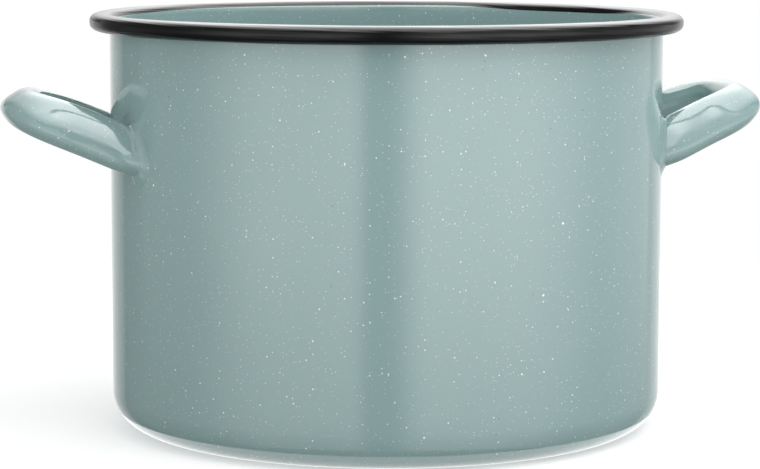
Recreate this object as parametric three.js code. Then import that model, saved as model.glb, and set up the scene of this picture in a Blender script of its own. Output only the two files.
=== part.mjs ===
// Enamelled stockpot: a straight-sided steel vessel with a rolled rim and two loop handles.
// Millimetres, +Z up, origin at the middle of the base on the table, handles along X.

import * as THREE from 'three';

// Vessel: one deep-drawn steel shell with glass enamel fired on both faces
const BODY_DIAMETER = 260; // outside of the straight wall
const POT_HEIGHT = 195; // table to the top of the rim
const WALL_THICKNESS = 1.2; // steel sheet with its enamel
const CORNER_RADIUS = 17; // outside bend between wall and base
const REST_RING_WIDTH = 14; // flat ring that stands on the table
const BASE_DISH = 1.2; // rise of the base inside that ring
const DISH_RUN = 16; // width over which the base rises

// Rim: the wall's top edge rolled outwards into a hollow bead and covered in black enamel
const RIM_HEIGHT = 8.4; // top to bottom of the bead
const RIM_OVERHANG = 9.5; // bead beyond the outside of the wall
const RIM_SQUARENESS = 2.4; // superellipse exponent of the bead's section, 2 is an ellipse
const RIM_COAT = 0.6; // thickness of the black enamel
const RIM_COAT_CLEARANCE = 0.2; // between the black enamel and the rolled edge
const CURL_LIP_GAP = 0.8; // slit between the lip of the rolled edge and the wall

// Handles: hollow loops rolled from sheet, tilted up, with an open seam on the finger side
const HANDLE_HEIGHT = 134.3; // table to the middle of the feet
const HANDLE_TILT = THREE.MathUtils.degToRad(24); // rise of the loop towards its grip
const HANDLE_SPAN = 68; // between the centre lines of the two legs
const HANDLE_LEG = 3; // straight part of each leg beyond its foot
const HANDLE_BOW = 41.4; // depth of the curved grip beyond the legs
const BOW_SQUARENESS = 2.9; // superellipse exponent of the grip, 2 is an ellipse
const GRIP_DROP = 2.2; // fall of the grip below the plane of the legs
const FOOT_WIDTH = 21.9; // width of the strap at the wall
const GRIP_WIDTH = 18; // width of the strap at the middle of the grip
const TAPER_POWER = 6.5; // how late the strap narrows on its way to the grip
const STRAP_THICKNESS = 13.2; // outer face to finger face
const STRAP_SQUARENESS = 2.9; // superellipse exponent of the strap's section
const STRAP_ROLL = THREE.MathUtils.degToRad(34); // lean of the outer face from sideways to upwards
const HANDLE_SHEET = 1.2; // thickness of the rolled sheet
const SEAM_GAP = 1.6; // opening along the finger side where the sheet's edges meet

// Welds: a bead round each handle foot, with the enamel that has run over it
const WELD_LEG = 3.2; // reach of the bead along the wall and up the handle
const WELD_THROAT = 0.9; // reach of the hollow middle of the bead
const SEAT_GAP = 0.3; // between the wall, the handle feet and the welds

// Steps of the curved surfaces
const ROUND_STEPS = 64; // round the vessel
const CORNER_STEPS = 6; // along the corner bend
const CURL_STEPS = 5; // in each quarter of the bead's section
const STRAP_STEPS = 24; // round the handle's section
const BOW_STEPS = 16; // along the curved grip

const wallRadius = BODY_DIAMETER / 2;
const legOffset = HANDLE_SPAN / 2;
const legRoot = Math.sqrt(wallRadius ** 2 - legOffset ** 2);

// The bead's section is a superellipse; each layer of it is inset from the outside of the black enamel.
const curlInset = RIM_COAT + RIM_COAT_CLEARANCE;
const beadHalfHeight = RIM_HEIGHT / 2;
const beadHalfWidth = (WALL_THICKNESS + RIM_OVERHANG + curlInset) / 2;
const beadMiddle = new THREE.Vector2(wallRadius + RIM_OVERHANG - beadHalfWidth, POT_HEIGHT - beadHalfHeight);

function enamel() {
  return new THREE.MeshStandardMaterial({ color: 0x8fafad, roughness: 0.15, metalness: 0 });
}

function blackEnamel() {
  return new THREE.MeshStandardMaterial({ color: 0x1d1e1e, roughness: 0.2, metalness: 0 });
}

function part(name, geometry, material) {
  const mesh = new THREE.Mesh(geometry, material);
  mesh.name = name;
  return mesh;
}

// Signed power of a cosine or sine, which makes a superellipse of the given exponent.
function squared(value, exponent) {
  return Math.sign(value) * Math.abs(value) ** (2 / exponent);
}

function steps(from, to, count) {
  return Array.from({ length: count + 1 }, (_, i) => from + ((to - from) * i) / count);
}

// Angle on a layer of the bead's underside where the layer ends, a slit away from the wall.
function lipAngle(inset) {
  const reach = (beadMiddle.x - wallRadius - CURL_LIP_GAP) / (beadHalfWidth - inset);
  return -Math.PI + Math.acos(reach ** (RIM_SQUARENESS / 2));
}

// One layer of the bead's section, from its end under the bead over the top to the inside of the pot.
function beadLayer(inset) {
  const angles = [
    ...steps(lipAngle(inset), 0, CURL_STEPS),
    ...steps(0, Math.PI / 2, CURL_STEPS).slice(1),
    ...steps(Math.PI / 2, Math.PI, CURL_STEPS).slice(1),
  ];
  return angles.map((angle) => new THREE.Vector2(
    beadMiddle.x + (beadHalfWidth - inset) * squared(Math.cos(angle), RIM_SQUARENESS),
    beadMiddle.y + (beadHalfHeight - inset) * squared(Math.sin(angle), RIM_SQUARENESS),
  ));
}

function cornerBend(radius, from, to) {
  return steps(from, to, CORNER_STEPS).map((angle) => new THREE.Vector2(
    wallRadius - CORNER_RADIUS + radius * Math.cos(angle),
    CORNER_RADIUS + radius * Math.sin(angle),
  ));
}

// LatheGeometry turns about Y, so the turned shape is stood up along Z.
function turned(profile) {
  const geometry = new THREE.LatheGeometry(profile, ROUND_STEPS);
  geometry.rotateX(Math.PI / 2);
  return geometry;
}

// Section of the shell: under the base, up the outside, round the inside of the curl to its lip,
// back over the curl, down the inside and across the floor to the axis.
function vesselGeometry() {
  const ringInner = wallRadius - CORNER_RADIUS - REST_RING_WIDTH;
  const profile = [
    new THREE.Vector2(0, BASE_DISH),
    new THREE.Vector2(ringInner - DISH_RUN, BASE_DISH),
    new THREE.Vector2(ringInner, 0),
    ...cornerBend(CORNER_RADIUS, -Math.PI / 2, 0),
    ...beadLayer(curlInset + WALL_THICKNESS).reverse(),
    ...beadLayer(curlInset),
    ...cornerBend(CORNER_RADIUS - WALL_THICKNESS, 0, -Math.PI / 2),
    new THREE.Vector2(ringInner, WALL_THICKNESS),
    new THREE.Vector2(ringInner - DISH_RUN, BASE_DISH + WALL_THICKNESS),
    new THREE.Vector2(0, BASE_DISH + WALL_THICKNESS),
  ];
  return turned(profile);
}

// Section of the black enamel: a hook over the bead, from the inside of the pot to the curl's lip.
function rimBandGeometry() {
  const profile = [
    ...beadLayer(0),
    ...beadLayer(RIM_COAT).reverse(),
  ];
  profile.push(profile[0].clone());
  return turned(profile);
}

// Rolled oval outline of the strap as (out, across) pairs, out of the loop and square to its plane.
// It runs from one edge of the seam over the outer face to the other edge; without a seam it closes.
function strapOutline(width, offset, seam) {
  const halfWidth = width / 2 + offset;
  const halfThickness = STRAP_THICKNESS / 2 + offset;
  const seamAngle = Math.PI - Math.asin((seam / 2 / halfWidth) ** (STRAP_SQUARENESS / 2));
  const middle = new THREE.Vector2();
  return steps(-seamAngle, seamAngle, STRAP_STEPS).map((angle) => new THREE.Vector2(
    halfThickness * squared(Math.cos(angle), STRAP_SQUARENESS),
    halfWidth * squared(Math.sin(angle), STRAP_SQUARENESS),
  ).rotateAround(middle, STRAP_ROLL));
}

// From the loop's own plane (along the legs, sideways, square to the plane) to the pot.
function onTilt(along, sideways, square) {
  return new THREE.Vector3(
    legRoot + along * Math.cos(HANDLE_TILT) - square * Math.sin(HANDLE_TILT),
    sideways,
    HANDLE_HEIGHT + along * Math.sin(HANDLE_TILT) + square * Math.cos(HANDLE_TILT),
  );
}

// Distance along a straight leg at which a point of the strap meets a cylinder about the pot's axis.
function footReach({ x: out, y: across }, radius) {
  const depth = Math.sqrt(radius ** 2 - (legOffset + out) ** 2) - legRoot;
  return (depth + across * Math.sin(HANDLE_TILT)) / Math.cos(HANDLE_TILT);
}

// The strap's outline cut to such a cylinder, on the leg at +Y (side 1) or at -Y (side -1).
function footRing(outline, side, radius) {
  return outline.map((point) => onTilt(footReach(point, radius), side * (legOffset + point.x), point.y));
}

// The bow starts where the last point of the foot has left the wall and the leg has run straight.
const footOutline = strapOutline(FOOT_WIDTH, 0, SEAM_GAP);
const legEnd = HANDLE_LEG + Math.max(...footOutline.map((point) => footReach(point, wallRadius + SEAT_GAP)));
const gripReach = legEnd + HANDLE_BOW;

// The strap's outline square to the bow at an angle from one leg (0) over the grip to the other (pi).
function bowRing(angle, outlineAt) {
  const along = squared(Math.sin(angle), BOW_SQUARENESS);
  const sideways = squared(Math.cos(angle), BOW_SQUARENESS);
  const normal = new THREE.Vector2(
    Math.abs(along) ** (BOW_SQUARENESS - 1) / HANDLE_BOW,
    (Math.sign(sideways) * Math.abs(sideways) ** (BOW_SQUARENESS - 1)) / legOffset,
  ).normalize();
  const reach = legEnd + HANDLE_BOW * along;
  const drop = GRIP_DROP * (reach / gripReach) ** 2;
  return outlineAt(reach).map(({ x: out, y: across }) => onTilt(
    reach + out * normal.x,
    legOffset * sideways + out * normal.y,
    across - drop,
  ));
}

// Outline of the rolled sheet at a distance along the leg: its outer face, then its inner face back.
function sheetOutline(reach) {
  const taper = (reach / gripReach) ** TAPER_POWER;
  const width = THREE.MathUtils.lerp(FOOT_WIDTH, GRIP_WIDTH, taper);
  const outer = strapOutline(width, 0, SEAM_GAP);
  const inner = strapOutline(width, -HANDLE_SHEET, SEAM_GAP);
  return [...outer, ...inner.reverse()];
}

// Triangles between rings with equally many points; a closed list of rings ends on its first one.
function ringFaces(ringCount, pointCount, closed) {
  const faces = [];
  const spans = closed ? ringCount : ringCount - 1;
  for (let i = 0; i < spans; i++) {
    const near = i * pointCount;
    const far = ((i + 1) % ringCount) * pointCount;
    for (let j = 0; j < pointCount; j++) {
      const next = (j + 1) % pointCount;
      faces.push(near + j, near + next, far + next);
      faces.push(near + j, far + next, far + j);
    }
  }
  return faces;
}

// Triangles of a cut end of the rolled sheet, between its outer and its inner face.
function sheetEnd(first, pointCount, flip) {
  const faces = [];
  for (let j = 0; j < pointCount / 2 - 1; j++) {
    const corners = [j, j + 1, pointCount - 2 - j, pointCount - 1 - j].map((k) => first + k);
    if (flip) corners.reverse();
    faces.push(corners[0], corners[2], corners[1]);
    faces.push(corners[0], corners[3], corners[2]);
  }
  return faces;
}

function skin(rings, faces) {
  const geometry = new THREE.BufferGeometry();
  geometry.setFromPoints(rings.flat());
  geometry.setIndex(faces);
  geometry.computeVertexNormals();
  return geometry;
}

function handleGeometry() {
  const foot = sheetOutline(0);
  const rings = [
    footRing(foot, 1, wallRadius + SEAT_GAP),
    ...steps(0, Math.PI, BOW_STEPS).map((angle) => bowRing(angle, sheetOutline)),
    footRing(foot, -1, wallRadius + SEAT_GAP),
  ];
  const points = foot.length;
  const faces = [
    ...ringFaces(rings.length, points, false),
    ...sheetEnd(0, points, false),
    ...sheetEnd((rings.length - 1) * points, points, true),
  ];
  return skin(rings, faces);
}

// A ring round a foot with a hollow face: its root in the corner, its toe on the wall, its throat,
// and its crest on the handle.
function weldGeometry(side) {
  const corners = [[0, 0], [WELD_LEG, 0], [WELD_THROAT, WELD_THROAT], [0, WELD_LEG]];
  const rings = corners.map(([outwards, upwards]) => footRing(
    strapOutline(FOOT_WIDTH, SEAT_GAP + outwards, 0).slice(1),
    side,
    wallRadius + SEAT_GAP + upwards,
  ));
  if (side < 0) rings.reverse();
  return skin(rings, ringFaces(rings.length, rings[0].length, true));
}

const pot = new THREE.Group();
pot.add(part('vessel', vesselGeometry(), enamel()));
pot.add(part('rim_band', rimBandGeometry(), blackEnamel()));

// Each handle is built towards +X and turned to its side, with the feet named as seen from -Y.
for (const [side, turn] of [['right', 0], ['left', Math.PI]]) {
  const assembly = new THREE.Group();
  assembly.rotation.z = turn;
  assembly.add(part(`handle_${side}`, handleGeometry(), enamel()));
  const back = Math.cos(turn);
  assembly.add(part(`weld_${side}_back`, weldGeometry(back), enamel()));
  assembly.add(part(`weld_${side}_front`, weldGeometry(-back), enamel()));
  pot.add(assembly);
}

export default pot;
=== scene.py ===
"""Enamelled stockpot: the finish of each piece and a plain studio, laid out as a Blender add-on."""

import math

import bpy
import numpy as np
from bpy.props import FloatProperty, FloatVectorProperty, PointerProperty
from mathutils import Euler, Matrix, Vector


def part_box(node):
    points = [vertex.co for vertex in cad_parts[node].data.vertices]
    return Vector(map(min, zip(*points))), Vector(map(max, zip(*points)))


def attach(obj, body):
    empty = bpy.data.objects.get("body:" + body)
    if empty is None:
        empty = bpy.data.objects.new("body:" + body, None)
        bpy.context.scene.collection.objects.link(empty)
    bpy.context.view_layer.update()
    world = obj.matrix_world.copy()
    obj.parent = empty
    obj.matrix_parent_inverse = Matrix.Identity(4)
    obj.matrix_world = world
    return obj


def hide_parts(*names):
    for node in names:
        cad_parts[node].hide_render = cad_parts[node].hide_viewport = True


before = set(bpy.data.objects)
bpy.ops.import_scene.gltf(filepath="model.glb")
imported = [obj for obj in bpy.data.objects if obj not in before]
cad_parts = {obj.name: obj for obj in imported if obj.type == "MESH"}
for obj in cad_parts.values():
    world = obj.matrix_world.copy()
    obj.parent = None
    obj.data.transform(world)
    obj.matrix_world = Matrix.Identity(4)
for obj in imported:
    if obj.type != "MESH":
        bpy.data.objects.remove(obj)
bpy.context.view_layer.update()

bl_info = {
    "name": "Enamelled Stockpot",
    "version": (1, 0, 0),
    "blender": (4, 5, 0),
    "location": "View3D > Sidebar > Stockpot",
    "description": "Makes the enamelled pieces of a stockpot round its frame, and a studio for them",
    "category": "Add Mesh",
}

MM = 0.001
IMAGE_WIDTH = 760
SENSOR_WIDTH = 36

# Steps of the pieces' surfaces
ROUND_STEPS = 384
BASE_STEPS = 10
DISH_STEPS = 24
RING_STEPS = 6
CORNER_STEPS = 24
WALL_STEPS = 24
CURL_STEPS = 40
COAT_STEPS = 84
OUTLINE_STEPS = 96
LIP_STEPS = 7
LEG_STEPS = 14
BOW_STEPS = 132
BOW_SAMPLES = 4001
SPLAY_ROUNDS = 8
WELD_STEPS = 160
FILLET_STEPS = 14

# Steps of the stage's sheets
CLOTH_ROWS = 60
CLOTH_COLUMNS = 96
DISC_RINGS = 5
DISC_TURNS = 129

# The rim on the frame, in metres, and how far it stands out from the wall, in millimetres
RIM_LOW, RIM_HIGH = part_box("rim_band")
RIM_OVERHANG = 9.5

# Where the black enamel has run down inside the pot: degrees round the axis, half width in degrees
# and share of the full run
ENAMEL_RUNS = ((34, 21, 0.85), (158, 26, 0.45), (262, 34, 0.6))

# The black enamel from its lip under the bead to its edge inside the pot: share of the way that is
# wavier, how wavy it is, and share after which the enamel thins out
WAVY_SHARE = 0.3
WAVY_RIPPLE = 0.8
THIN_SHARE = 0.82

# The hardened drop under a foot: place and width in radians round the foot, and middle and width as
# shares of the way from the toe to the crest
DROP_PLACE = math.radians(273)
DROP_WIDTH = 0.16
DROP_MIDDLE = 0.4
DROP_REACH = 0.26

# Radians by which a wave is shifted against the others, times the square of its count
WAVE_SHIFT = 0.7

# Patterns of the enamels, in millimetres
CLOUD_SIZE = 45
PEEL_SIZE = 5
PEEL_DEPTH = 0.01
FLOW_SIZE = 7
FLOW_DEPTH = 0.05
GRAIN_SIZE = 1.1
GRAIN_DEPTH = 0.012

# Layers of specks: spacing and largest radius in millimetres, rarity of the large ones, and cover
WHITE_SPECKS = ((1.3, 0.35, 1.6, 0.46), (2.6, 0.5, 1.8, 0.75), (9, 0.74, 1.2, 0.97))
DARK_FLECKS = ((8, 0.5, 0.9, 0.5),)
SPECK_CORE = 0.55

# Name of the enamel that most pieces share, refraction of the two enamels, and how far their roughness
# strays
SAGE_ENAMEL = "speckled_vitreous_enamel"
SAGE_IOR = 1.6
SAGE_STRAY = (-0.02, 0.02)
BLACK_IOR = 1.34
BLACK_STRAY = (-0.04, 0.06)

# Kinds of ray that pass by a lit cloth of the stage, so that only mirrored rays meet it
MIRRORED_ONLY = ("camera", "transmission", "shadow", "diffuse")

# Lamps: the point that they face, and for each one its place in metres to the camera's right, from the
# axis towards the camera and up, and its width
POT_MIDDLE = Vector((0, 0, 0.1))
KEY_LAMP_PLACE = (0.3, 0.52, 0.85)
KEY_LAMP_WIDTH = 0.7
SIDE_LAMP_PLACE = (0.75, -0.4, 0.5)
SIDE_LAMP_WIDTH = 0.6

# Softbox: edges in metres, how far its left edge slants for each metre towards the camera, and
# where its cloth dims and to what level
SOFTBOX_HEIGHT = 0.85
SOFTBOX_BACK = 0.2
SOFTBOX_FRONT = 1.2
SOFTBOX_LEFT = -0.24
SOFTBOX_SLANT = 0.6
SOFTBOX_RIGHT = 1.4
SOFTBOX_FRONT_DIM = (0.24, 0.44, 0.5)
SOFTBOX_RIGHT_DIM = (0.36, 0.52, 0.32)
SOFTBOX_FRONT_FEATHER = 0.3
SOFTBOX_RIGHT_FEATHER = 0.5

# Canopy: edges, depth and rise in metres, where it dims sideways, where it dims on its way down, in
# radians of its quarter ellipse, and to what level
CANOPY_LEFT = -0.85
CANOPY_RIGHT = 1.2
CANOPY_FRONT = 0.16
CANOPY_DEPTH = 1.3
CANOPY_FOOT = 0.25
CANOPY_RISE = 0.62
CANOPY_LEFT_DIM = (-0.85, -0.1)
CANOPY_RIGHT_DIM = (1.1, 0.2)
CANOPY_FOOT_DIM = (1.2, 0.1, 0.22)

# The canopy's end beside the softbox: its level at its back, and metres over which that dies out
CANOPY_END_LEVEL = 0.85
CANOPY_END_RUN = 0.75

# Reflectors: distance from the axis, foot and feathers in metres, and where they dim above and below
# the pot and to what level
REFLECTOR_DISTANCE = 1.6
REFLECTOR_FOOT = -2.2
REFLECTOR_FOOT_FEATHER = 0.3
REFLECTOR_TOP_FEATHER = 0.5
REFLECTOR_UPPER_DIM = (0.12, 0.42, 0.5)
REFLECTOR_SKIRT_DIM = (-0.02, -0.42, 0.38)

# Each reflector: edges in degrees to the camera's right, degrees over which it comes up from the
# edge near the camera, degrees over which it dims to its far wing, level of the wing, top in metres
LEFT_REFLECTOR = {"edges": (-116, -4), "near": (-4, -14.5), "far": (-44, -88), "wing": 0.15, "top": 1.5}
RIGHT_REFLECTOR = {"edges": (-1, 136), "near": (-1, 18), "far": (48, 100), "wing": 0.3, "top": 1.75}

# Backdrop: degrees to the camera's right of its middle, cosines from that middle at which mirrored
# rays leave it, cosines between which it dims, and to what level
BACKDROP_MIDDLE = 178.5
BACKDROP_EDGE = (0.735, 0.765)
BACKDROP_DIM = (0.76, 0.97, 0.38)

# Slope of a ray, as the sine of its rise, up to which the tent is brightest and from which it is even
TENT_SLOPES = (0.12, 0.5)


def linear(code):
    """Turn an sRGB hex colour into linear red, green and blue, with an alpha of one."""
    srgb = np.array([int(code[i:i + 2], 16) for i in (1, 3, 5)]) / 255
    value = np.where(srgb <= 0.04045, srgb / 12.92, ((srgb + 0.055) / 1.055) ** 2.4)
    return (*value.tolist(), 1.0)


def length(name, description, millimetres):
    """A size, given in millimetres and kept in metres."""
    return FloatProperty(
        name=name, description=description, default=millimetres * MM, unit="LENGTH", precision=4
    )


def angle(name, description, degrees):
    """An angle, given in degrees and kept in radians."""
    return FloatProperty(
        name=name, description=description, default=math.radians(degrees), subtype="ANGLE"
    )


def factor(name, description, value):
    """A plain number."""
    return FloatProperty(name=name, description=description, default=value)


def colour(name, description, code):
    """A colour, given as sRGB hex and kept linear."""
    return FloatVectorProperty(
        name=name, description=description, default=linear(code), size=4, subtype="COLOR", min=0, max=1
    )


class VesselSizes(bpy.types.PropertyGroup):
    """The deep-drawn steel shell."""

    height: length("Height", "Table to the top of the rim", RIM_HIGH.z / MM)
    body_radius: length("Body radius", "Axis to the outside of the wall", RIM_HIGH.y / MM - RIM_OVERHANG)
    wall: length("Wall", "Thickness of the steel with its enamel", 1.2)
    corner_radius: length("Corner radius", "Outside bend between wall and base", 17)
    ring_width: length("Rest ring", "Width of the flat ring that stands on the table", 14)
    base_dish: length("Base dish", "Rise of the base inside the rest ring", 1.2)
    dish_run: length("Dish run", "Width over which the base rises", 16)


class RimSizes(bpy.types.PropertyGroup):
    """The rolled bead and the black enamel on it."""

    height: length("Height", "Top to bottom of the bead", RIM_HIGH.z / MM - RIM_LOW.z / MM)
    overhang: length("Overhang", "Bead beyond the outside of the wall", RIM_OVERHANG)
    squareness: factor("Squareness", "Superellipse exponent of the bead, 2 is an ellipse", 2.4)
    coat: length("Coat", "Outside of the black enamel to the steel of the bead", 0.8)
    lip_gap: length("Lip gap", "Slit between the rolled edge's lip and the wall", 0.8)
    edge: length("Edge", "Thickness that the black enamel thins to inside the pot", 0.04)
    band: length("Band", "How far the black enamel comes down inside the pot", 1.7)
    run: length("Run", "How much further it comes down where it has run", 2.3)
    ripple: length("Ripple", "Unevenness of the hand-laid black enamel", 0.14)


class HandleSizes(bpy.types.PropertyGroup):
    """The hollow loop handles, rolled from sheet."""

    height: length("Height", "Table to the middle of the feet", 134.3)
    tilt: angle("Tilt", "Rise of the loop towards its grip", 24)
    span: length("Span", "Between the centre lines of the two legs", 68)
    leg: length("Leg", "Straight part of each leg beyond its foot", 3)
    bow: length("Bow", "Depth of the curved grip beyond the legs", 41.4)
    bow_squareness: factor("Bow squareness", "Superellipse exponent of the grip", 2.9)
    drop: length("Drop", "Fall of the grip below the plane of the legs", 2.2)
    splay: length("Splay", "How far each leg spreads sideways at the wall", 5)
    splay_run: length("Splay run", "Distance from the wall over which it spreads", 28)
    foot_width: length("Foot width", "Width of the strap beyond its feet", 21.9)
    foot_taper: length("Foot taper", "How much the strap narrows again where it meets the wall", 3)
    foot_sink: length("Foot sink", "How far the feet reach into the wall", 0.3)
    grip_width: length("Grip width", "Width of the strap at the middle of the grip", 18)
    taper_power: factor("Taper power", "How late the strap narrows towards the grip", 6.5)
    thickness: length("Thickness", "Outer face of the strap to its finger face", 13.2)
    squareness: factor("Squareness", "Superellipse exponent of the strap's section", 2.9)
    roll: angle("Roll", "Lean of the outer face from sideways to upwards", 34)
    sheet: length("Sheet", "Thickness of the rolled sheet", 1.2)
    seam_gap: length("Seam gap", "Opening along the finger side", 1.6)
    seam_turn: length("Seam turn", "How far the sheet's edges turn in at the seam", 0.5)


class WeldSizes(bpy.types.PropertyGroup):
    """The enamel that has run into the corner round each handle foot."""

    toe: length("Toe", "Reach of the enamel along the wall", 3.0)
    crest: length("Crest", "Reach of the enamel up the handle", 2.5)
    sag: length("Sag", "How much further it reaches along the wall under the foot", 0.8)
    toe_angle: angle("Toe angle", "Slope of its hollow face where it leaves the wall", 22)
    crest_angle: angle("Crest angle", "Slope of its hollow face at the crease along the handle", 58)
    wobble: length("Wobble", "Unevenness of its edge", 0.25)
    root: length("Root", "Depth to which it fills the corner", 0.4)
    drip: length("Drip", "Height of the hardened drop under one foot", 0.9)


class EnamelFinish(bpy.types.PropertyGroup):
    """Colours and gloss of the two enamels."""

    sage: colour("Sage", "Ground of the speckled enamel", "#8CA6A5")
    sage_deep: colour("Deep sage", "Where the enamel lies thicker", "#87A2A1")
    speck: colour("Speck", "White specks in the enamel", "#F4F8F5")
    fleck: colour("Fleck", "Rare dark flecks in the enamel", "#3E4C4B")
    black: colour("Black", "Enamel on the rim", "#0D0E0E")
    gloss: factor("Roughness", "Roughness of the speckled enamel", 0.09)
    black_gloss: factor("Black roughness", "Roughness of the rim's enamel", 0.2)


class StudioSettings(bpy.types.PropertyGroup):
    """Camera, lamps, cloths and floor."""

    camera_azimuth: angle("Camera azimuth", "Turn of the camera round the pot", -12.1)
    camera_distance: length("Camera distance", "Pot's axis to the camera", 1292.7)
    camera_height: length("Camera height", "Table to the camera", 250.9)
    camera_pitch: angle("Camera pitch", "How far the camera looks down", 7.14)
    camera_roll: angle("Camera roll", "Tilt of the camera about its view", 0.14)
    focal_pixels: factor("Focal length", "Focal length in pixels of the photograph", 2734.8)
    axis_right: factor("Axis right", "Pixels from the picture's middle to the camera's axis", 6.03)
    axis_down: factor("Axis down", "Pixels from the picture's middle down to the axis", 0.5)
    key: factor("Key", "Light of the lamp over the front of the pot", 2.0)
    side: factor("Side", "Light of the lamp to the right of the pot", 2.2)
    softbox: factor("Softbox", "Brightness of the softbox's cloth as the enamel mirrors it", 7.2)
    canopy: factor("Canopy", "Brightness of the canopy behind the softbox as the enamel mirrors it", 6.6)
    fill_left: factor("Left fill", "Brightness of the reflector to the left of the camera", 2.0)
    fill_right: factor("Right fill", "Brightness of the reflector to the right of the camera", 2.7)
    ambient: factor("Ambient", "Even light from all round", 0.78)
    horizon: factor("Horizon", "Further light from all round near the height of the pot", 0.4)
    room: factor("Room", "Brightness of the room that the enamel mirrors", 0.15)
    stand: factor("Stand", "Brightness of the white stand that the enamel mirrors", 1.65)
    stand_radius: length("Stand radius", "Axis to the edge of the white stand under the pot", 129)
    floor: colour("Floor", "Pale floor", "#D9D9D9")
    floor_glow: factor("Floor glow", "Brightness that the floor has by itself where it is seen", 0.45)
    floor_radius: length("Floor radius", "Axis to the edge of the floor", 600)


class StockpotSettings(bpy.types.PropertyGroup):
    """Everything that can be set."""

    vessel: PointerProperty(type=VesselSizes)
    rim: PointerProperty(type=RimSizes)
    handle: PointerProperty(type=HandleSizes)
    weld: PointerProperty(type=WeldSizes)
    finish: PointerProperty(type=EnamelFinish)
    studio: PointerProperty(type=StudioSettings)


# Surfaces


def squared(value, exponent):
    """Superellipse term: the sign of a cosine or sine times its size to the power 2 / exponent."""
    return np.sign(value) * np.abs(value) ** (2 / exponent)


def smooth(value):
    """Smooth step from 0 to 1: three squares less two cubes of the value held between 0 and 1."""
    held = np.clip(value, 0, 1)
    return held * held * (3 - 2 * held)


def waves(turn, counts, phase):
    """Uneven line round a full turn, within -1 and 1: the mean of sines with whole numbers of waves."""
    counts = np.array(counts, float)
    shifts = phase + counts * counts * WAVE_SHIFT
    return np.sin(np.asarray(turn)[..., None] * counts + shifts).mean(axis=-1)


def turned_from(turn, place):
    """Angle from a place on a full turn, between minus and plus half a turn."""
    return (turn - place + math.pi) % (2 * math.pi) - math.pi


def grid_faces(rows, columns, close_rows, close_columns):
    """Quads of a grid of points numbered row by row, wrapped round where a direction closes."""
    row = np.arange(rows if close_rows else rows - 1)[:, None]
    column = np.arange(columns if close_columns else columns - 1)[None, :]
    next_row = (row + 1) % rows
    next_column = (column + 1) % columns
    corners = np.broadcast_arrays(
        row * columns + column,
        next_row * columns + column,
        next_row * columns + next_column,
        row * columns + next_column,
    )
    return np.stack(corners, axis=-1).reshape(-1, 4)


def bead_measures(vessel, rim):
    """Middle and half sizes of the bead's section, from the inside of the pot to the overhang."""
    half_width = (vessel.wall + rim.overhang + rim.coat) / 2
    half_height = rim.height / 2
    middle_radius = vessel.body_radius + rim.overhang - half_width
    middle_height = vessel.height - half_height
    return middle_radius, middle_height, half_width, half_height


def bead_point(vessel, rim, around, inset):
    """Superellipse of the bead, a given inset inside the black enamel: (radius, height)."""
    middle_radius, middle_height, half_width, half_height = bead_measures(vessel, rim)
    radius = middle_radius + (half_width - inset) * squared(np.cos(around), rim.squareness)
    height = middle_height + (half_height - inset) * squared(np.sin(around), rim.squareness)
    return radius, height


def lip_angle(vessel, rim, inset):
    """Angle under the bead where a layer of it ends, a slit away from the wall.

    The superellipse solved for that radius: the reach, as a share of the half width, to the power of
    half the exponent is the angle's cosine, taken on the lower side.
    """
    middle_radius, _, half_width, _ = bead_measures(vessel, rim)
    reach = (middle_radius - vessel.body_radius - rim.lip_gap) / (half_width - inset)
    return -math.pi + math.acos(reach ** (rim.squareness / 2))


def shell_face(vessel, rim, depth):
    """One face of the shell, (radius, height) rows from the axis to the lip of the rolled edge.

    The base rises inside its rest ring by half a cosine, the corner is a quarter circle, the wall
    is straight, and the curl follows the bead's superellipse. A depth of zero gives the face
    outside the wall, which goes on inside the curl, and the wall's thickness gives the other one.
    """
    ring_outer = vessel.body_radius - vessel.corner_radius
    ring_inner = ring_outer - vessel.ring_width
    base_edge = ring_inner - vessel.dish_run
    base = np.stack([np.linspace(0, base_edge, BASE_STEPS), np.full(BASE_STEPS, vessel.base_dish)], 1)
    rise = np.linspace(0, 1, DISH_STEPS)
    dish = np.stack(
        [base_edge + vessel.dish_run * rise, vessel.base_dish * (1 + np.cos(math.pi * rise)) / 2], 1
    )
    ring = np.stack([np.linspace(ring_inner, ring_outer, RING_STEPS), np.zeros(RING_STEPS)], 1)
    flat = np.concatenate([base, dish[1:], ring[1:-1]])
    flat[:, 1] += depth
    bend = np.linspace(-math.pi / 2, 0, CORNER_STEPS)
    corner_radius = vessel.corner_radius - depth
    corner = np.stack(
        [ring_outer + corner_radius * np.cos(bend), vessel.corner_radius + corner_radius * np.sin(bend)], 1
    )
    inset = rim.coat + vessel.wall - depth
    around = np.linspace(math.pi, lip_angle(vessel, rim, inset), CURL_STEPS)
    curl = np.stack(bead_point(vessel, rim, around, inset), 1)
    share = np.linspace(0, 1, WALL_STEPS)[1:-1, None]
    wall = corner[-1] * (1 - share) + curl[0] * share
    return np.concatenate([flat, corner, wall, curl])


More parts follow.
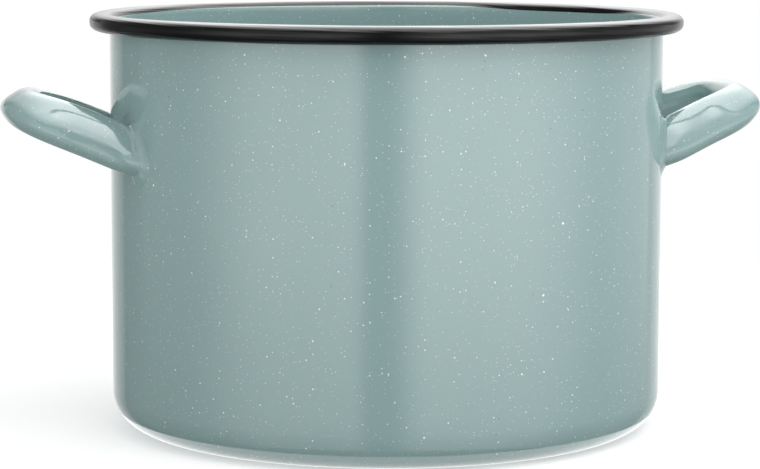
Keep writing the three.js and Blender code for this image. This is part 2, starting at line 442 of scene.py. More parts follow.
def vessel_surface(vessel, rim):
    """The shell's section carried round the axis: its outer face, then its inner face back.

    Each row of the grid is one point of the section at every angle; the first and last rows are
    single points on the axis.
    """
    section = np.concatenate([shell_face(vessel, rim, 0), shell_face(vessel, rim, vessel.wall)[::-1]])
    turn = np.linspace(0, 2 * math.pi, ROUND_STEPS, endpoint=False)
    rings = section[1:-1]
    points = np.stack(
        np.broadcast_arrays(rings[:, :1] * np.cos(turn), rings[:, :1] * np.sin(turn), rings[:, 1:]),
        axis=-1,
    ).reshape(-1, 3)
    poles = np.array([[0, 0, section[0, 1]], [0, 0, section[-1, 1]]])
    count = len(points)
    here = np.arange(ROUND_STEPS)
    ahead = (here + 1) % ROUND_STEPS
    last = count - ROUND_STEPS
    under = np.stack([np.full(ROUND_STEPS, count), ahead, here], 1)
    over = np.stack([np.full(ROUND_STEPS, count + 1), last + here, last + ahead], 1)
    faces = grid_faces(len(rings), ROUND_STEPS, False, True)[:, ::-1]
    return np.concatenate([points, poles]), [faces, under, over]


def band_depth(rim, turn):
    """How far the black enamel comes down inside the pot at each angle round the axis.

    A narrow band with an uneven edge, and flat-topped bumps, each the exponential of minus a fourth
    power, where the enamel has run further down.
    """
    depth = rim.band + 2 * rim.ripple * waves(turn, (2, 3, 5, 9), 0.4)
    for middle, half_width, share in ENAMEL_RUNS:
        away = turned_from(turn, math.radians(middle))
        depth = depth + rim.run * share * np.exp(-((away / math.radians(half_width)) ** 4))
    return depth


def rim_surface(vessel, rim):
    """Black enamel as a hook over the bead: its outside from the lip to its edge inside the pot, then back.

    The outside is the bead's superellipse, let in by a small ripple, and it thins out over the
    last stretch inside the pot, whose end follows band_depth.
    """
    turn = np.linspace(0, 2 * math.pi, ROUND_STEPS, endpoint=False)[:, None]
    _, _, _, half_height = bead_measures(vessel, rim)
    edge = math.pi - np.arcsin((1 - band_depth(rim, turn) / half_height).clip(0, 1) ** (rim.squareness / 2))
    along = np.linspace(0, 1, COAT_STEPS)[None, :]
    start = lip_angle(vessel, rim, 0)
    around = start + (edge - start) * along
    thin = smooth((along - THIN_SHARE) / (1 - THIN_SHARE))
    uneven = (1 + waves(turn + 3 * along, (7, 11, 18, 29), 1.1)) / 2
    under = smooth(1 - along / WAVY_SHARE) * waves(turn, (13, 22, 37, 61), 2.0)
    inset = rim.ripple * (uneven + WAVY_RIPPLE * under).clip(0, None) + (rim.coat - rim.edge) * thin
    outside = bead_point(vessel, rim, around, np.minimum(inset, rim.coat - rim.edge))
    inside = bead_point(vessel, rim, around[:, ::-1], rim.coat - rim.edge / 2)
    radius = np.concatenate([outside[0], inside[0]], axis=1)
    height = np.concatenate([outside[1], inside[1]], axis=1)
    points = np.stack([radius * np.cos(turn), radius * np.sin(turn), height], axis=-1)
    return points.reshape(-1, 3), [grid_faces(ROUND_STEPS, radius.shape[1], True, True)]


def strap_outline(handle, around, width, offset):
    """Oval outline of the strap before its roll: how far towards its outer face and across each point lies.

    A superellipse of the angle from the middle of the outer face.
    """
    out = (handle.thickness / 2 + offset) * squared(np.cos(around), handle.squareness)
    across = (width / 2 + offset) * squared(np.sin(around), handle.squareness)
    return out, across


def rolled(handle, out, across):
    """Turn points of the strap's section so that its outer face leans up."""
    cosine, sine = math.cos(handle.roll), math.sin(handle.roll)
    return out * cosine - across * sine, out * sine + across * cosine


def sheet_face(handle, width, offset):
    """One face of the rolled sheet, from one edge of the seam over the outer face to the other.

    Near the seam the edges turn in towards the centre line, by a bell curve two sheets wide.
    """
    straight = (handle.seam_gap + handle.sheet) / 2
    seam = math.pi - np.arcsin((straight / (width / 2 + offset)) ** (handle.squareness / 2))
    around = seam * np.linspace(-1, 1, OUTLINE_STEPS + 1)[None, :]
    out, across = strap_outline(handle, around, width, offset)
    turn_in = handle.seam_turn * np.exp(-((np.abs(across) - straight) / (2 * handle.sheet)) ** 2)
    return np.where(out < 0, out + turn_in, out), across


def sheet_section(handle, width):
    """Closed section of the rolled sheet: its outer face, a round lip, its inner face and a round lip.

    Each lip is half an ellipse about the middle between the ends of the two faces.
    """
    outer = np.stack(sheet_face(handle, width, 0), -1)
    inner = np.stack(sheet_face(handle, width, -handle.sheet), -1)[:, ::-1]
    swing = np.linspace(0, math.pi, LIP_STEPS + 2)[1:-1, None]
    lips = []
    for near, far, towards in ((outer[:, -1:], inner[:, :1], -1), (inner[:, -1:], outer[:, :1], 1)):
        middle = (near + far) / 2
        arm = (near - far) / 2
        bulge = np.array([0, towards]) * handle.sheet / 2
        lips.append(middle + arm * np.cos(swing) + bulge * np.sin(swing))
    section = np.concatenate([outer, lips[0], inner, lips[1]], axis=1)
    return rolled(handle, section[..., 0], section[..., 1])


def loop_root(handle, vessel):
    """Distance from the axis at which the centre lines of the legs meet the outside of the wall.

    The root of the wall's radius squared less half the span squared.
    """
    return math.sqrt(vessel.body_radius ** 2 - (handle.span / 2) ** 2)


def on_tilt(handle, vessel, along, sideways, square):
    """From the loop's own plane (along the legs, sideways, square to the plane) to the pot.

    The plane is turned up by the tilt about the line through the roots of the legs.
    """
    x = loop_root(handle, vessel) + along * math.cos(handle.tilt) - square * math.sin(handle.tilt)
    z = handle.height + along * math.sin(handle.tilt) + square * math.cos(handle.tilt)
    return np.stack(np.broadcast_arrays(x, sideways, z), axis=-1)


def foot_reach(handle, vessel, out, across, radius):
    """Distance along a straight leg at which a point of the strap meets a cylinder about the axis.

    The way from the loop's root to the cylinder at the point's own side, plus the point's height over
    the plane times the sine of the tilt, all over the cosine of the tilt.
    """
    depth = np.sqrt(radius ** 2 - (handle.span / 2 + out) ** 2) - loop_root(handle, vessel)
    return (depth + across * math.sin(handle.tilt)) / math.cos(handle.tilt)


def spread(handle, along):
    """How far a leg has spread at a distance along it: a smooth step that dies out over the splay's run."""
    return handle.splay * (1 - smooth(along / handle.splay_run))


def splayed_reach(handle, vessel, out, across, radius):
    """Distance along a splayed leg at which a point of the strap meets a cylinder about the axis.

    The spread depends on that distance, so it is put in again until it settles.
    """
    reach = foot_reach(handle, vessel, out, across, radius)
    for _ in range(SPLAY_ROUNDS):
        reach = foot_reach(handle, vessel, out + spread(handle, reach), across, radius)
    return reach


def leg_end(handle, vessel):
    """Distance along the leg at which the bow starts, past the last point that a straight foot would have."""
    out, across = sheet_section(handle, np.array([[handle.foot_width]]))
    return handle.leg + foot_reach(handle, vessel, out, across, vessel.body_radius).max()


def bow_angles(handle):
    """Angles from one leg over the grip to the other, at even steps along the bow.

    The chords of a finely sampled superellipse are added up, and the angles read off at even shares.
    """
    fine = np.linspace(0, math.pi, BOW_SAMPLES)
    x = handle.bow * squared(np.sin(fine), handle.bow_squareness)
    y = handle.span / 2 * squared(np.cos(fine), handle.bow_squareness)
    run = np.concatenate([[0], np.cumsum(np.hypot(np.diff(x), np.diff(y)))])
    return np.interp(np.linspace(0, run[-1], BOW_STEPS + 1), run, fine)


def handle_surface(handle, vessel):
    """The sheet's section carried up one leg, round the superellipse of the bow and down the other leg.

    On the bow the section stands along the superellipse's normal. The strap narrows with a power of the
    distance from the wall, and the grip falls with its square.
    Near the wall each leg spreads sideways, and it narrows with the square of the way left to its foot.
    """
    start = leg_end(handle, vessel)
    grip = start + handle.bow
    theta = bow_angles(handle)[:, None]
    along = np.abs(squared(np.sin(theta), handle.bow_squareness))
    sideways = squared(np.cos(theta), handle.bow_squareness)
    steep = handle.bow_squareness - 1
    normal = np.stack(
        [along ** steep / handle.bow, np.sign(sideways) * np.abs(sideways) ** steep / (handle.span / 2)]
    )
    normal = normal / np.hypot(normal[0], normal[1])
    reach = start + handle.bow * along
    narrowing = (handle.foot_width - handle.grip_width) * (reach / grip) ** handle.taper_power
    out, across = sheet_section(handle, handle.foot_width - narrowing)
    bow_along = reach + out * normal[0]
    bow_side = handle.span / 2 * sideways + out * normal[1] + np.sign(sideways) * spread(handle, bow_along)
    bow = on_tilt(handle, vessel, bow_along, bow_side, across - handle.drop * (reach / grip) ** 2)
    rise = np.linspace(0, 1, LEG_STEPS)[:-1, None]
    out, across = sheet_section(handle, handle.foot_width - handle.foot_taper * (1 - rise) ** 2)
    seat = splayed_reach(handle, vessel, out, across, vessel.body_radius - handle.foot_sink)
    leg_along = seat + (start - seat) * rise
    leg_side = handle.span / 2 + out + spread(handle, leg_along)
    fall = handle.drop * (start * rise / grip) ** 2
    legs = [on_tilt(handle, vessel, leg_along, side * leg_side, across - fall) for side in (1, -1)]
    rings = np.concatenate([legs[0], bow, legs[1][::-1]])
    count = rings.shape[1]
    faces = [grid_faces(len(rings), count, False, True)[:, ::-1]]
    faces += sheet_ends(count, (len(rings) - 1) * count)
    return rings.reshape(-1, 3), faces


def sheet_ends(count, last):
    """Faces that close the cut ends of the sheet: strips between its two faces, and one for each lip."""
    step = np.arange(OUTLINE_STEPS)
    inner = OUTLINE_STEPS + 1 + LIP_STEPS
    strip = np.stack([step, step + 1, inner + OUTLINE_STEPS - step - 1, inner + OUTLINE_STEPS - step], 1)
    first_lip = np.arange(OUTLINE_STEPS, inner + 1)[None, :]
    second_lip = np.concatenate([np.arange(inner + OUTLINE_STEPS, count), [0]])[None, :]
    near = [strip[:, ::-1], first_lip[:, ::-1], second_lip[:, ::-1]]
    far = [last + strip, last + first_lip, last + second_lip]
    return near + far


def weld_surface(handle, vessel, weld, side, drip):
    """Enamel round a foot: a shallow hollow arc from its toe on the wall to its crest on the handle.

    The arc is part of a circle, from the toe's slope to the crest's, stretched to the reach of the
    toe and the crest. The toe reaches further under the foot, where the enamel sagged before it set,
    and its edge is uneven. A drip lifts a small round drop, a bell curve both ways, at the lower
    outer corner.
    """
    around = np.linspace(0, 2 * math.pi, WELD_STEPS, endpoint=False)[:, None]
    share = np.linspace(0, 1, FILLET_STEPS)[None, :]
    slope = weld.toe_angle + (weld.crest_angle - weld.toe_angle) * share
    lower = smooth((1 - np.sin(around + handle.roll)) / 2)
    toe = weld.toe + weld.sag * lower + weld.wobble * waves(around, (3, 5, 8), side)
    crest = weld.crest + weld.wobble * waves(around, (2, 5, 7), side + 1.5)
    run = math.sin(weld.crest_angle) - math.sin(weld.toe_angle)
    climb = math.cos(weld.toe_angle) - math.cos(weld.crest_angle)
    outwards = toe * (math.sin(weld.crest_angle) - np.sin(slope)) / run
    upwards = crest * (math.cos(weld.toe_angle) - np.cos(slope)) / climb
    away = turned_from(around, DROP_PLACE)
    drop = np.exp(-((away / DROP_WIDTH) ** 2) - ((share - DROP_MIDDLE) / DROP_REACH) ** 2)
    upwards = upwards + drip * drop
    deep = np.full_like(around, -weld.root)
    outwards = np.concatenate([outwards, deep, deep, toe], axis=1)
    upwards = np.concatenate([upwards, crest, deep, deep], axis=1)
    foot_width = handle.foot_width - handle.foot_taper
    out, across = rolled(handle, *strap_outline(handle, around, foot_width, outwards))
    reach = splayed_reach(handle, vessel, out, across, vessel.body_radius + upwards)
    sideways = handle.span / 2 + out + spread(handle, reach)
    points = on_tilt(handle, vessel, reach, side * sideways, across)
    faces = grid_faces(WELD_STEPS, points.shape[1], True, True)
    return points.reshape(-1, 3), [faces if side > 0 else faces[:, ::-1]]


def half_turned(surface, turn):
    """A surface as it is for a turn of 1, and half way round the axis, with x and y reversed, for -1."""
    points, faces = surface
    return points * np.array([turn, turn, 1]), faces


def mesh_object(name, surface, material):
    """Put a surface into a smooth mesh at the origin."""
    points, faces = surface
    mesh = bpy.data.meshes.new(name)
    corners = np.concatenate([block.ravel() for block in faces])
    sizes = np.concatenate([np.full(len(block), block.shape[1]) for block in faces])
    mesh.vertices.add(len(points))
    mesh.vertices.foreach_set("co", points.astype(np.float32).ravel())
    mesh.loops.add(len(corners))
    mesh.loops.foreach_set("vertex_index", corners.astype(np.int32))
    mesh.polygons.add(len(sizes))
    mesh.polygons.foreach_set("loop_start", (np.cumsum(sizes) - sizes).astype(np.int32))
    mesh.polygons.foreach_set("use_smooth", np.ones(len(sizes), bool))
    mesh.update(calc_edges=True)
    mesh.validate()
    mesh.materials.append(material)
    made = bpy.data.objects.new(name, mesh)
    bpy.context.scene.collection.objects.link(made)
    return made


def piece(name, surface, material, node):
    """A piece of the pot, which rides on its one body and stands for its CAD node."""
    made = mesh_object(name, surface, material)
    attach(made, "root")
    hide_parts(node)


# Materials


def add(tree, kind, inputs=None, **settings):
    """Add a node with its settings; each input takes a value or another node's output."""
    made = tree.nodes.new(kind)
    for name, value in settings.items():
        setattr(made, name, value)
    for name, value in (inputs or {}).items():
        if isinstance(value, bpy.types.NodeSocket):
            tree.links.new(value, made.inputs[name])
        else:
            made.inputs[name].default_value = value
    return made


def new_material(name):
    """An empty node material and its output."""
    material = bpy.data.materials.new(name)
    material.use_nodes = True
    material.node_tree.nodes.clear()
    return material, material.node_tree, add(material.node_tree, "ShaderNodeOutputMaterial")


def specks(tree, place, spacing, radius, rarity):
    """Round specks scattered through space: cells of the given spacing, each with a speck of its own size.

    A speck's radius is the largest one times a random number to the power of the rarity. It is
    solid up to a share of that radius and fades from there to its edge.
    """
    cells = add(
        tree,
        "ShaderNodeTexVoronoi",
        {"Vector": place, "Scale": 1 / (spacing * MM), "Randomness": 1.0},
        feature="F1",
    )
    chance = add(tree, "ShaderNodeSeparateColor", {"Color": cells.outputs["Color"]})
    share = add(tree, "ShaderNodeMath", {0: chance.outputs["Red"], 1: rarity}, operation="POWER")
    edge = add(tree, "ShaderNodeMath", {0: share.outputs[0], 1: radius / spacing}, operation="MULTIPLY")
    core = add(tree, "ShaderNodeMath", {0: edge.outputs[0], 1: SPECK_CORE}, operation="MULTIPLY")
    return add(
        tree,
        "ShaderNodeMapRange",
        {"Value": cells.outputs["Distance"], "From Min": edge.outputs[0], "From Max": core.outputs[0]},
        interpolation_type="SMOOTHSTEP",
    ).outputs["Result"]


def shared_enamel(finish):
    """The speckled enamel of the shell, handles and feet, made when it is first asked for."""
    return bpy.data.materials.get(SAGE_ENAMEL) or speckled_enamel(finish)


def speckled_enamel(finish):
    """Vitreous enamel, sprayed and fired on steel: a glassy sage coat with white grains melted into it.

    It gives the eye soft sharp-edged reflections with a faint orange peel, a ground that is a
    little deeper where the coat is thicker, and white specks of all sizes up to a millimetre.
    """
    material, tree, output = new_material(SAGE_ENAMEL)
    place = add(tree, "ShaderNodeTexCoord").outputs["Object"]
    cloud = add(tree, "ShaderNodeTexNoise", {"Vector": place, "Scale": 1 / (CLOUD_SIZE * MM), "Detail": 3.0})
    shade = add(
        tree,
        "ShaderNodeMix",
        {"Factor": cloud.outputs["Fac"], "A": finish.sage, "B": finish.sage_deep},
        data_type="RGBA",
    ).outputs["Result"]
    for layers, tint in ((WHITE_SPECKS, finish.speck), (DARK_FLECKS, finish.fleck)):
        for spacing, radius, rarity, strength in layers:
            mask = specks(tree, place, spacing, radius, rarity)
            cover = add(tree, "ShaderNodeMath", {0: mask, 1: strength}, operation="MULTIPLY")
            shade = add(
                tree, "ShaderNodeMix", {"Factor": cover.outputs[0], "A": shade, "B": tint}, data_type="RGBA"
            ).outputs["Result"]
    peel = add(tree, "ShaderNodeTexNoise", {"Vector": place, "Scale": 1 / (PEEL_SIZE * MM), "Detail": 2.0})
    bump = add(
        tree, "ShaderNodeBump", {"Height": peel.outputs["Fac"], "Strength": 1.0, "Distance": PEEL_DEPTH * MM}
    )
    glossiest, dullest = finish.gloss + SAGE_STRAY[0], finish.gloss + SAGE_STRAY[1]
    sheen = add(
        tree, "ShaderNodeMapRange", {"Value": cloud.outputs["Fac"], "To Min": glossiest, "To Max": dullest}
    )
    glass = add(
        tree,
        "ShaderNodeBsdfPrincipled",
        {
            "Base Color": shade,
            "Roughness": sheen.outputs["Result"],
            "IOR": SAGE_IOR,
            "Normal": bump.outputs["Normal"],
        },
    )
    tree.links.new(glass.outputs["BSDF"], output.inputs["Surface"])
    return material


def black_enamel(finish):
    """Black vitreous enamel, laid on the rim by hand: glassy, with the small waves of a flooded coat.

    It gives the eye a deep black with narrow, slightly broken reflections along the rim.
    """
    material, tree, output = new_material("black_vitreous_enamel")
    place = add(tree, "ShaderNodeTexCoord").outputs["Object"]
    flow = add(tree, "ShaderNodeTexNoise", {"Vector": place, "Scale": 1 / (FLOW_SIZE * MM), "Detail": 2.0})
    grain = add(tree, "ShaderNodeTexNoise", {"Vector": place, "Scale": 1 / (GRAIN_SIZE * MM), "Detail": 3.0})
    broad = add(
        tree, "ShaderNodeBump", {"Height": flow.outputs["Fac"], "Strength": 1.0, "Distance": FLOW_DEPTH * MM}
    )
    fine = add(
        tree,
        "ShaderNodeBump",
        {
            "Height": grain.outputs["Fac"],
            "Strength": 1.0,
            "Distance": GRAIN_DEPTH * MM,
            "Normal": broad.outputs["Normal"],
        },
    )
    glossiest, dullest = finish.black_gloss + BLACK_STRAY[0], finish.black_gloss + BLACK_STRAY[1]
    sheen = add(
        tree, "ShaderNodeMapRange", {"Value": flow.outputs["Fac"], "To Min": glossiest, "To Max": dullest}
    )
    glass = add(
        tree,
        "ShaderNodeBsdfPrincipled",
        {
            "Base Color": finish.black,
            "Roughness": sheen.outputs["Result"],
            "IOR": BLACK_IOR,
            "Normal": fine.outputs["Normal"],
        },
    )
    tree.links.new(glass.outputs["BSDF"], output.inputs["Surface"])
    return material


def seen_directly(tree):
    """One for rays that show a background: straight from the camera, mirrored, or through glass."""
    path = add(tree, "ShaderNodeLightPath")
    mirrored = add(
        tree,
        "ShaderNodeMath",
        {0: path.outputs["Is Camera Ray"], 1: path.outputs["Is Glossy Ray"]},
        operation="MAXIMUM",
    )
    return add(
        tree,
        "ShaderNodeMath",
        {0: mirrored.outputs[0], 1: path.outputs["Is Transmission Ray"]},
        operation="MAXIMUM",
    ).outputs[0]


def floor_paper(studio):
    """Matt paper, lit up to white where it is seen: it keeps the pot's soft shadow."""
    material, tree, output = new_material("matt_white_paper")
    matt = add(tree, "ShaderNodeBsdfDiffuse", {"Color": studio.floor})
    share = add(tree, "ShaderNodeMath", {0: seen_directly(tree), 1: studio.floor_glow}, operation="MULTIPLY")
    glow = add(tree, "ShaderNodeEmission", {"Strength": share.outputs[0]})
    both = add(tree, "ShaderNodeAddShader", {0: matt.outputs[0], 1: glow.outputs[0]})
    tree.links.new(both.outputs[0], output.inputs["Surface"])
    return material


def lit_cloth(name, brightness):
    """White cloth lit from behind; its own glow attribute dims and feathers it."""
    material, tree, output = new_material(name)
    glow = add(tree, "ShaderNodeAttribute", attribute_name="glow")
    level = add(tree, "ShaderNodeMath", {0: glow.outputs["Fac"], 1: brightness}, operation="MULTIPLY")
    light = add(tree, "ShaderNodeEmission", {"Strength": level.outputs[0]})
    tree.links.new(light.outputs[0], output.inputs["Surface"])
    return material


# Stage


def ramp(value, start, done):
    """Smooth step from 0 where a value is at the start to 1 where it is done, whichever is higher."""
    return smooth((value - start) / (done - start))


def dimmed(value, start, done, level):
    """Full glow up to the start, which falls by a smooth step to a level where it is done."""
    return 1 - (1 - level) * ramp(value, start, done)


def hide_from(thing, rays):
    """Keep a stage piece out of the sight of some kinds of ray."""
    for ray in rays:
        setattr(thing, f"visible_{ray}", False)


def disc_grid(radius):
    """Flat disc on the table: rings about the axis, the first one a point."""
    turn = np.linspace(0, 2 * math.pi, DISC_TURNS)[None, :]
    out = radius * np.linspace(0, 1, DISC_RINGS)[:, None]
    return np.stack(np.broadcast_arrays(out * np.cos(turn), out * np.sin(turn), 0), axis=-1)


def stage_sheet(name, points, material):
    """A sheet of the stage on a grid of points."""
    rows, columns = points.shape[:2]
    made = mesh_object(name, (points.reshape(-1, 3), [grid_faces(rows, columns, False, False)]), material)
    return made


def lit_sheet(name, points, glow, brightness):
    """A sheet of lit cloth with its own glow at each point, which only mirrored rays meet."""
    made = stage_sheet(name, points, lit_cloth(name + "_cloth", brightness))
    level = made.data.attributes.new("glow", "FLOAT", "POINT")
    level.data.foreach_set("value", np.broadcast_to(glow, points.shape[:2]).astype(np.float32).ravel())
    hide_from(made, MIRRORED_ONLY)


def floor_and_stand(studio):
    """Pale floor, and the round white stand under the pot that the enamel mirrors at its foot."""
    floor = stage_sheet("floor", disc_grid(studio.floor_radius), floor_paper(studio))
    hide_from(floor, ("glossy",))
    lit_sheet("stand", disc_grid(studio.stand_radius), 1, studio.stand)


def round_place(studio, azimuth, distance, height):
    """A point round the pot: degrees to the right of the camera, metres from the axis, metres up."""
    turn = studio.camera_azimuth + math.radians(azimuth)
    return Vector((distance * math.sin(turn), -distance * math.cos(turn), height))


def beside_camera(studio, right, toward, height):
    """Points in metres to the camera's right, towards it and up, turned by the camera's azimuth."""
    cosine, sine = math.cos(studio.camera_azimuth), math.sin(studio.camera_azimuth)
    x = right * cosine + toward * sine
    y = right * sine - toward * cosine
    return np.stack(np.broadcast_arrays(x, y, height), axis=-1)


def soft_lamp(studio, name, place, width, brightness):
    """Square lamp that faces the pot from a place beside the camera; it gives light and isn't mirrored.

    Its power is pi times its brightness times its area.
    """
    data = bpy.data.lights.new(name, "AREA")
    data.shape = "SQUARE"
    data.size = width
    data.energy = math.pi * brightness * width * width
    lamp = bpy.data.objects.new(name, data)
    lamp.location = beside_camera(studio, *place).tolist()
    lamp.rotation_euler = (POT_MIDDLE - lamp.location).to_track_quat("-Z", "Y").to_euler()
    hide_from(lamp, ("camera", "glossy"))
    bpy.context.scene.collection.objects.link(lamp)


def softbox_left(toward):
    """The softbox's slanted left edge at a distance towards the camera, in metres to its right."""
    return SOFTBOX_LEFT + SOFTBOX_SLANT * (toward - SOFTBOX_BACK)


def softbox(studio):
    """Cloth of the softbox over the front of the pot, which the enamel mirrors.

    A flat sheet between a slanted left edge and a straight right edge. It dims by smooth steps
    towards the camera and to the right, and its front and right edges are feathered.
    """
    toward = np.linspace(SOFTBOX_BACK, SOFTBOX_FRONT, CLOTH_ROWS)[:, None]
    left = softbox_left(toward)
    right = left + (SOFTBOX_RIGHT - left) * np.linspace(0, 1, CLOTH_COLUMNS)[None, :]
    glow = dimmed(toward, *SOFTBOX_FRONT_DIM) * dimmed(right, *SOFTBOX_RIGHT_DIM)
    glow = glow * ramp(toward, SOFTBOX_FRONT, SOFTBOX_FRONT - SOFTBOX_FRONT_FEATHER)
    glow = glow * ramp(right, SOFTBOX_RIGHT, SOFTBOX_RIGHT - SOFTBOX_RIGHT_FEATHER)
    lit_sheet("softbox", beside_camera(studio, right, toward, SOFTBOX_HEIGHT), glow, studio.softbox)


def canopy(studio):
    """Canopy from just behind the softbox, over the pot and down behind it, which the enamel mirrors.

    A quarter ellipse carried sideways. It dims by smooth steps from its top to its foot and towards
    both sides.
    """
    swing = np.linspace(0, math.pi / 2, CLOTH_ROWS)[:, None]
    right = np.linspace(CANOPY_LEFT, CANOPY_RIGHT, CLOTH_COLUMNS)[None, :]
    toward = CANOPY_FRONT - CANOPY_DEPTH * np.cos(swing)
    height = CANOPY_FOOT + CANOPY_RISE * np.sin(swing)
    glow = dimmed(swing, *CANOPY_FOOT_DIM) * ramp(right, *CANOPY_LEFT_DIM) * ramp(right, *CANOPY_RIGHT_DIM)
    lit_sheet("canopy", beside_camera(studio, right, toward, height), glow, studio.canopy)


def fore_canopy(studio):
    """End of the canopy that carries on level to the left of the softbox, dimmer towards the camera."""
    toward = np.linspace(CANOPY_FRONT, SOFTBOX_FRONT, CLOTH_ROWS)[:, None]
    inner = softbox_left(toward)
    right = inner + (CANOPY_LEFT - inner) * np.linspace(0, 1, CLOTH_COLUMNS)[None, :]
    glow = CANOPY_END_LEVEL * ramp(toward, CANOPY_FRONT + CANOPY_END_RUN, CANOPY_FRONT)
    glow = glow * ramp(right, *CANOPY_LEFT_DIM)
    points = beside_camera(studio, right, toward, CANOPY_FOOT + CANOPY_RISE)
    lit_sheet("fore_canopy", points, glow, studio.canopy)


def reflector(studio, name, brightness, edges, near, far, wing, top):
    """Upright white reflector, a strip of a cylinder about the pot, which the enamel mirrors.

    Its glow is a product of smooth steps: up from the edge near the camera, down to the wing at the
    far edge, down above the pot, down to a skirt below the table, and feathers at its top and foot.
    """
    across = np.linspace(*edges, CLOTH_COLUMNS)[None, :]
    level = np.linspace(REFLECTOR_FOOT, top, CLOTH_ROWS)[:, None]
    right = REFLECTOR_DISTANCE * np.sin(np.radians(across))
    toward = REFLECTOR_DISTANCE * np.cos(np.radians(across))
    glow = ramp(across, *near) * dimmed(across, *far, wing)
    glow = glow * dimmed(level, *REFLECTOR_UPPER_DIM) * dimmed(level, *REFLECTOR_SKIRT_DIM)
    glow = glow * ramp(level, top, top - REFLECTOR_TOP_FEATHER)
    glow = glow * ramp(level, REFLECTOR_FOOT, REFLECTOR_FOOT + REFLECTOR_FOOT_FEATHER)
    lit_sheet(name, beside_camera(studio, right, toward, level), glow, brightness)


def studio_world(studio):
    """White backdrop behind the pot, inside a tent of white cloth.

    The camera sees white all round. Mirrored rays see the backdrop in a sector behind the pot,
    dimmer towards its edges, and the room elsewhere. As light on the pot, the tent is brightest near
    the horizon.
    """
    world = bpy.data.worlds.new("white_studio")
    world.use_nodes = True
    tree = world.node_tree
    tree.nodes.clear()
    look = add(tree, "ShaderNodeTexCoord").outputs["Generated"]
    middle = round_place(studio, BACKDROP_MIDDLE, 1, 0)
    behind = add(tree, "ShaderNodeVectorMath", {0: look, 1: middle}, operation="DOT_PRODUCT").outputs["Value"]
    outside, inside = BACKDROP_EDGE
    sector = add(
        tree,
        "ShaderNodeMapRange",
        {"Value": behind, "From Min": outside, "From Max": inside},
        interpolation_type="SMOOTHSTEP",
    )
    dimmest, brightest, level = BACKDROP_DIM
    backdrop = add(
        tree,
        "ShaderNodeMapRange",
        {"Value": behind, "From Min": dimmest, "From Max": brightest, "To Min": level},
    )
    mirrored = add(
        tree,
        "ShaderNodeMix",
        {"Factor": sector.outputs["Result"], "A": studio.room, "B": backdrop.outputs["Result"]},
        data_type="FLOAT",
    )
    rise = add(tree, "ShaderNodeSeparateXYZ", {0: look})
    slope = add(tree, "ShaderNodeMath", {0: rise.outputs["Z"]}, operation="ABSOLUTE")
    lowest, highest = TENT_SLOPES
    tent = add(
        tree,
        "ShaderNodeMapRange",
        {
            "Value": slope.outputs[0],
            "From Min": lowest,
            "From Max": highest,
            "To Min": studio.ambient + studio.horizon,
            "To Max": studio.ambient,
        },
        interpolation_type="SMOOTHSTEP",
    )
    path = add(tree, "ShaderNodeLightPath")
    lit = add(
        tree,
        "ShaderNodeMix",
        {
            "Factor": path.outputs["Is Glossy Ray"],
            "A": tent.outputs["Result"],
            "B": mirrored.outputs["Result"],
        },
        data_type="FLOAT",
    )
    clear = add(
        tree,
        "ShaderNodeMath",
        {0: path.outputs["Is Camera Ray"], 1: path.outputs["Is Transmission Ray"]},
        operation="MAXIMUM",
    )
    shown = add(
        tree,
        "ShaderNodeMix",
        {"Factor": clear.outputs[0], "A": lit.outputs["Result"], "B": 1.0},
        data_type="FLOAT",
    )
    white = add(
        tree, "ShaderNodeBackground", {"Color": (1, 1, 1, 1), "Strength": shown.outputs["Result"]}
    )
    output = add(tree, "ShaderNodeOutputWorld")
    tree.links.new(white.outputs[0], output.inputs["Surface"])
    bpy.context.scene.world = world


def photo_camera(studio):
    """Camera at the photograph's place and angle; its axis lies a few pixels off the picture's middle.

    The lens is the focal length in pixels times the sensor's width over the picture's width.
    """
    data = bpy.data.cameras.new("photo_camera")
    data.sensor_width = SENSOR_WIDTH
    data.lens = studio.focal_pixels * SENSOR_WIDTH / IMAGE_WIDTH
    data.shift_x = -studio.axis_right / IMAGE_WIDTH
    data.shift_y = studio.axis_down / IMAGE_WIDTH
    camera = bpy.data.objects.new("photo_camera", data)
    camera.location = round_place(studio, 0, studio.camera_distance, studio.camera_height)
    camera.rotation_mode = "QUATERNION"
    yaw = Euler((0, 0, studio.camera_azimuth)).to_quaternion()
    pitch = Euler((math.pi / 2 - studio.camera_pitch, 0, 0)).to_quaternion()
    roll = Euler((0, 0, studio.camera_roll)).to_quaternion()
    camera.rotation_quaternion = yaw @ pitch @ roll
    bpy.context.scene.collection.objects.link(camera)
    bpy.context.scene.camera = camera


# Operators


class STOCKPOT_OT_vessel(bpy.types.Operator):
    """Make the enamelled shell"""

    bl_idname = "stockpot.vessel"
    bl_label = "Vessel"

    def execute(self, context):
        pot = context.scene.stockpot
        surface = vessel_surface(pot.vessel, pot.rim)
        piece("vessel_shell", surface, shared_enamel(pot.finish), "vessel")
        return {"FINISHED"}


class STOCKPOT_OT_rim(bpy.types.Operator):
    """Make the black enamel on the rolled rim"""

    bl_idname = "stockpot.rim"
    bl_label = "Rim"

    def execute(self, context):
        pot = context.scene.stockpot
        surface = rim_surface(pot.vessel, pot.rim)
        piece("rim_enamel", surface, black_enamel(pot.finish), "rim_band")
        return {"FINISHED"}


class STOCKPOT_OT_handles(bpy.types.Operator):
    """Make the two loop handles; the left one is the right one turned half way round the axis"""

    bl_idname = "stockpot.handles"
    bl_label = "Handles"

    def execute(self, context):
        pot = context.scene.stockpot
        material = shared_enamel(pot.finish)
        loop = handle_surface(pot.handle, pot.vessel)
        for side, turn in (("right", 1), ("left", -1)):
            surface = half_turned(loop, turn)
            piece(f"handle_{side}_loop", surface, material, f"handle_{side}")
        return {"FINISHED"}


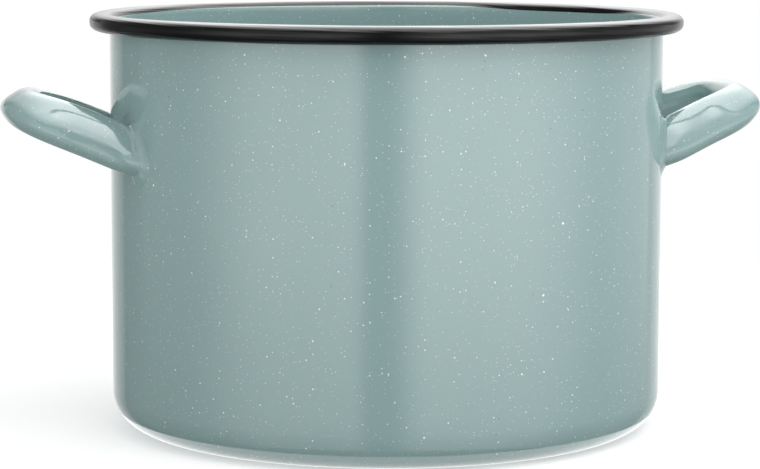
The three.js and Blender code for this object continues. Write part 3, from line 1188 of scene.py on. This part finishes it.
class STOCKPOT_OT_welds(bpy.types.Operator):
    """Make the enamel that has run round the four handle feet"""

    bl_idname = "stockpot.welds"
    bl_label = "Welds"

    def execute(self, context):
        pot = context.scene.stockpot
        material = shared_enamel(pot.finish)
        for side, turn in (("right", 1), ("left", -1)):
            for end, leg in (("back", turn), ("front", -turn)):
                name = f"weld_{side}_{end}"
                drip = pot.weld.drip if name == "weld_left_front" else 0
                fillet = weld_surface(pot.handle, pot.vessel, pot.weld, leg, drip)
                piece(f"{name}_fillet", half_turned(fillet, turn), material, name)
        return {"FINISHED"}


class STOCKPOT_OT_stage(bpy.types.Operator):
    """Make the floor, the lamps, the cloths, the surroundings and the camera"""

    bl_idname = "stockpot.stage"
    bl_label = "Stage"

    def execute(self, context):
        studio = context.scene.stockpot.studio
        floor_and_stand(studio)
        soft_lamp(studio, "key_lamp", KEY_LAMP_PLACE, KEY_LAMP_WIDTH, studio.key)
        soft_lamp(studio, "side_lamp", SIDE_LAMP_PLACE, SIDE_LAMP_WIDTH, studio.side)
        softbox(studio)
        canopy(studio)
        fore_canopy(studio)
        reflector(studio, "reflector_left", studio.fill_left, **LEFT_REFLECTOR)
        reflector(studio, "reflector_right", studio.fill_right, **RIGHT_REFLECTOR)
        studio_world(studio)
        photo_camera(studio)
        context.scene.view_settings.view_transform = "Standard"
        return {"FINISHED"}


class STOCKPOT_PT_panel(bpy.types.Panel):
    """Stockpot pieces and settings"""

    bl_label = "Stockpot"
    bl_idname = "STOCKPOT_PT_panel"
    bl_space_type = "VIEW_3D"
    bl_region_type = "UI"
    bl_category = "Stockpot"

    def draw(self, context):
        pot = context.scene.stockpot
        for operator, groups in STEPS:
            box = self.layout.box()
            box.operator(operator.bl_idname)
            for group in groups:
                settings = getattr(pot, group)
                for name in settings.__annotations__:
                    box.prop(settings, name)


# Operators in the order in which they run, each with the groups of settings that the panel lists under it
STEPS = (
    (STOCKPOT_OT_vessel, ("vessel", "finish")),
    (STOCKPOT_OT_rim, ("rim",)),
    (STOCKPOT_OT_handles, ("handle",)),
    (STOCKPOT_OT_welds, ("weld",)),
    (STOCKPOT_OT_stage, ("studio",)),
)
GROUPS = (VesselSizes, RimSizes, HandleSizes, WeldSizes, EnamelFinish, StudioSettings, StockpotSettings)
CLASSES = GROUPS + tuple(operator for operator, _ in STEPS) + (STOCKPOT_PT_panel,)


def register():
    """Register the settings, the operators and the panel."""
    for kind in CLASSES:
        bpy.utils.register_class(kind)
    bpy.types.Scene.stockpot = PointerProperty(type=StockpotSettings)


def unregister():
    """Take away what register added."""
    del bpy.types.Scene.stockpot
    for kind in reversed(CLASSES):
        bpy.utils.unregister_class(kind)


def main():
    """Make all the pieces and the stage."""
    register()
    bpy.ops.stockpot.vessel()
    bpy.ops.stockpot.rim()
    bpy.ops.stockpot.handles()
    bpy.ops.stockpot.welds()
    bpy.ops.stockpot.stage()


if __name__ == "__main__":
    main()
